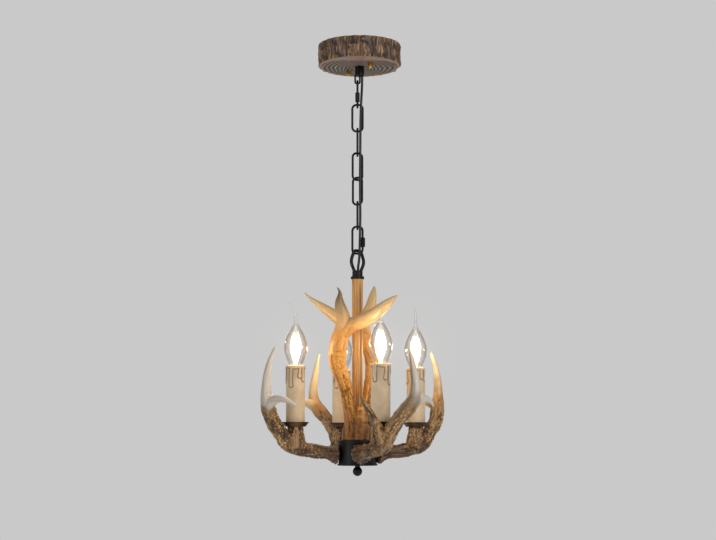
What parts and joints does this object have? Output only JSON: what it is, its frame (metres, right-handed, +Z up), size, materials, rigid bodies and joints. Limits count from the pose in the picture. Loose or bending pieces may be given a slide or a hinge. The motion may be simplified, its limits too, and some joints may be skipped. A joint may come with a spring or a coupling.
{
  "type": "antler chandelier",
  "caption": "Hanging ceiling light: resin antler arms round a black hub carry candle sleeves with flame bulbs, on a chain from a log-slice canopy.",
  "frame": {"origin": "centre of the mounting crossbar, on the plane of the ceiling", "axes": "+Z up into the ceiling; the picture looks along +Y with +X to its right"},
  "size_m": [0.2793, 0.29, 0.6676],
  "materials": {
    "zinc_steel": "zinc plated",
    "resin_bark": "matt, furrowed bark",
    "brass": "polished",
    "black_metal": "satin black",
    "white_plastic": "matt",
    "black_cable": "soft sheen",
    "wood_tone_metal": "painted wood grain",
    "resin_antler_gold": "satin, grained",
    "resin_antler": "satin, pearled",
    "bronze_metal": "dark bronze",
    "ivory_plastic": "waxy",
    "clear_glass": "clear",
    "filament": "glowing"
  },
  "bodies": {
    "canopy": {"ceiling_crossbar": "zinc_steel", "canopy_shell": "resin_bark", "canopy_screws": "zinc_steel", "canopy_cap_nuts": "brass", "hanger_loop": "black_metal", "hanger_nut": "zinc_steel", "terminal_block": "white_plastic", "ground_screw": "zinc_steel", "supply_cable": "black_cable"},
    "upper_quick_link": {"upper_quick_link": "black_metal"},
    "upper_sleeve_nut": {"upper_sleeve_nut": "black_metal"},
    "chain_link_1": {"chain_link_1": "black_metal"},
    "chain_link_2": {"chain_link_2": "black_metal"},
    "chain_link_3": {"chain_link_3": "black_metal"},
    "chain_link_4": {"chain_link_4": "black_metal"},
    "chain_link_5": {"chain_link_5": "black_metal"},
    "lower_quick_link": {"lower_quick_link": "black_metal"},
    "lower_sleeve_nut": {"lower_sleeve_nut": "black_metal"},
    "fixture": {"stem_loop": "black_metal", "lamp_pipe": "zinc_steel", "stem_tube": "wood_tone_metal", "hub_cap": "black_metal", "hub_body": "black_metal", "hub_nut": "zinc_steel", "hub_splice": "white_plastic", "finial": "black_metal", "finial_nut": "zinc_steel", "central_antler_front": "resin_antler_gold", "central_antler_rear": "resin_antler_gold", "clasp_screws": "bronze_metal", "arm_nipples": "zinc_steel", "arm_nuts": "zinc_steel", "arm_antler_front": "resin_antler", "bobeche_front": "bronze_metal", "candle_sleeve_front": "ivory_plastic", "lampholder_front": "white_plastic", "arm_antler_right": "resin_antler", "bobeche_right": "bronze_metal", "candle_sleeve_right": "ivory_plastic", "lampholder_right": "white_plastic", "arm_antler_back": "resin_antler", "bobeche_back": "bronze_metal", "candle_sleeve_back": "ivory_plastic", "lampholder_back": "white_plastic", "arm_antler_left": "resin_antler", "bobeche_left": "bronze_metal", "candle_sleeve_left": "ivory_plastic", "lampholder_left": "white_plastic"},
    "bulb_front": {"bulb_glass_front": "clear_glass", "bulb_base_front": "brass", "bulb_filament_front": "filament"},
    "bulb_right": {"bulb_glass_right": "clear_glass", "bulb_base_right": "brass", "bulb_filament_right": "filament"},
    "bulb_back": {"bulb_glass_back": "clear_glass", "bulb_base_back": "brass", "bulb_filament_back": "filament"},
    "bulb_left": {"bulb_glass_left": "clear_glass", "bulb_base_left": "brass", "bulb_filament_left": "filament"}
  },
  "joints": [
    {"name": "upper_link_swing", "type": "hinge", "parent": "canopy", "child": "upper_quick_link", "pos_m": [-0.0032, 0, -0.0601], "axis": [1, 0, 0], "range_deg": [-10, 10], "deforming": ["supply_cable"]},
    {"name": "chain_link_1_swing", "type": "hinge", "parent": "upper_quick_link", "child": "chain_link_1", "pos_m": [-0.0032, 0, -0.09785], "axis": [0, 1, 0], "range_deg": [-10, 10], "deforming": ["supply_cable"]},
    {"name": "chain_link_2_swing", "type": "hinge", "parent": "chain_link_1", "child": "chain_link_2", "pos_m": [-0.0032, 0, -0.1362], "axis": [1, 0, 0], "range_deg": [-10, 10], "deforming": ["supply_cable"]},
    {"name": "chain_link_3_swing", "type": "hinge", "parent": "chain_link_2", "child": "chain_link_3", "pos_m": [-0.0032, 0, -0.17455], "axis": [0, 1, 0], "range_deg": [-10, 10], "deforming": ["supply_cable"]},
    {"name": "chain_link_4_swing", "type": "hinge", "parent": "chain_link_3", "child": "chain_link_4", "pos_m": [-0.0032, 0, -0.2129], "axis": [0.9272, 0.3746, 0], "range_deg": [-10, 10], "deforming": ["supply_cable"]},
    {"name": "chain_link_5_swing", "type": "hinge", "parent": "chain_link_4", "child": "chain_link_5", "pos_m": [-0.0032, 0, -0.25125], "axis": [0.8829, -0.4695, 0], "range_deg": [-10, 10], "deforming": ["supply_cable"]},
    {"name": "lower_link_swing", "type": "hinge", "parent": "chain_link_5", "child": "lower_quick_link", "pos_m": [-0.0032, 0, -0.2896], "axis": [0, 1, 0], "range_deg": [-10, 10], "deforming": ["supply_cable"]},
    {"name": "fixture_swing", "type": "hinge", "parent": "lower_quick_link", "child": "fixture", "pos_m": [-0.0032, 0, -0.32795], "axis": [0.9781, -0.2079, 0], "range_deg": [-10, 10], "deforming": ["supply_cable"]},
    {"name": "upper_sleeve_nut_travel", "type": "slide", "parent": "upper_quick_link", "child": "upper_sleeve_nut", "axis": [0, 0, 1], "range_m": [0, 0.0098]},
    {"name": "lower_sleeve_nut_travel", "type": "slide", "parent": "lower_quick_link", "child": "lower_sleeve_nut", "axis": [0, 0, 1], "range_m": [0, 0.0098]},
    {"name": "bulb_front_unscrew", "type": "slide", "parent": "fixture", "child": "bulb_front", "axis": [0, 0, 1], "range_m": [0, 0.028]},
    {"name": "bulb_right_unscrew", "type": "slide", "parent": "fixture", "child": "bulb_right", "axis": [0, 0, 1], "range_m": [0, 0.028]},
    {"name": "bulb_back_unscrew", "type": "slide", "parent": "fixture", "child": "bulb_back", "axis": [0, 0, 1], "range_m": [0, 0.028]},
    {"name": "bulb_left_unscrew", "type": "slide", "parent": "fixture", "child": "bulb_left", "axis": [0, 0, 1], "range_m": [0, 0.028]}
  ]
}
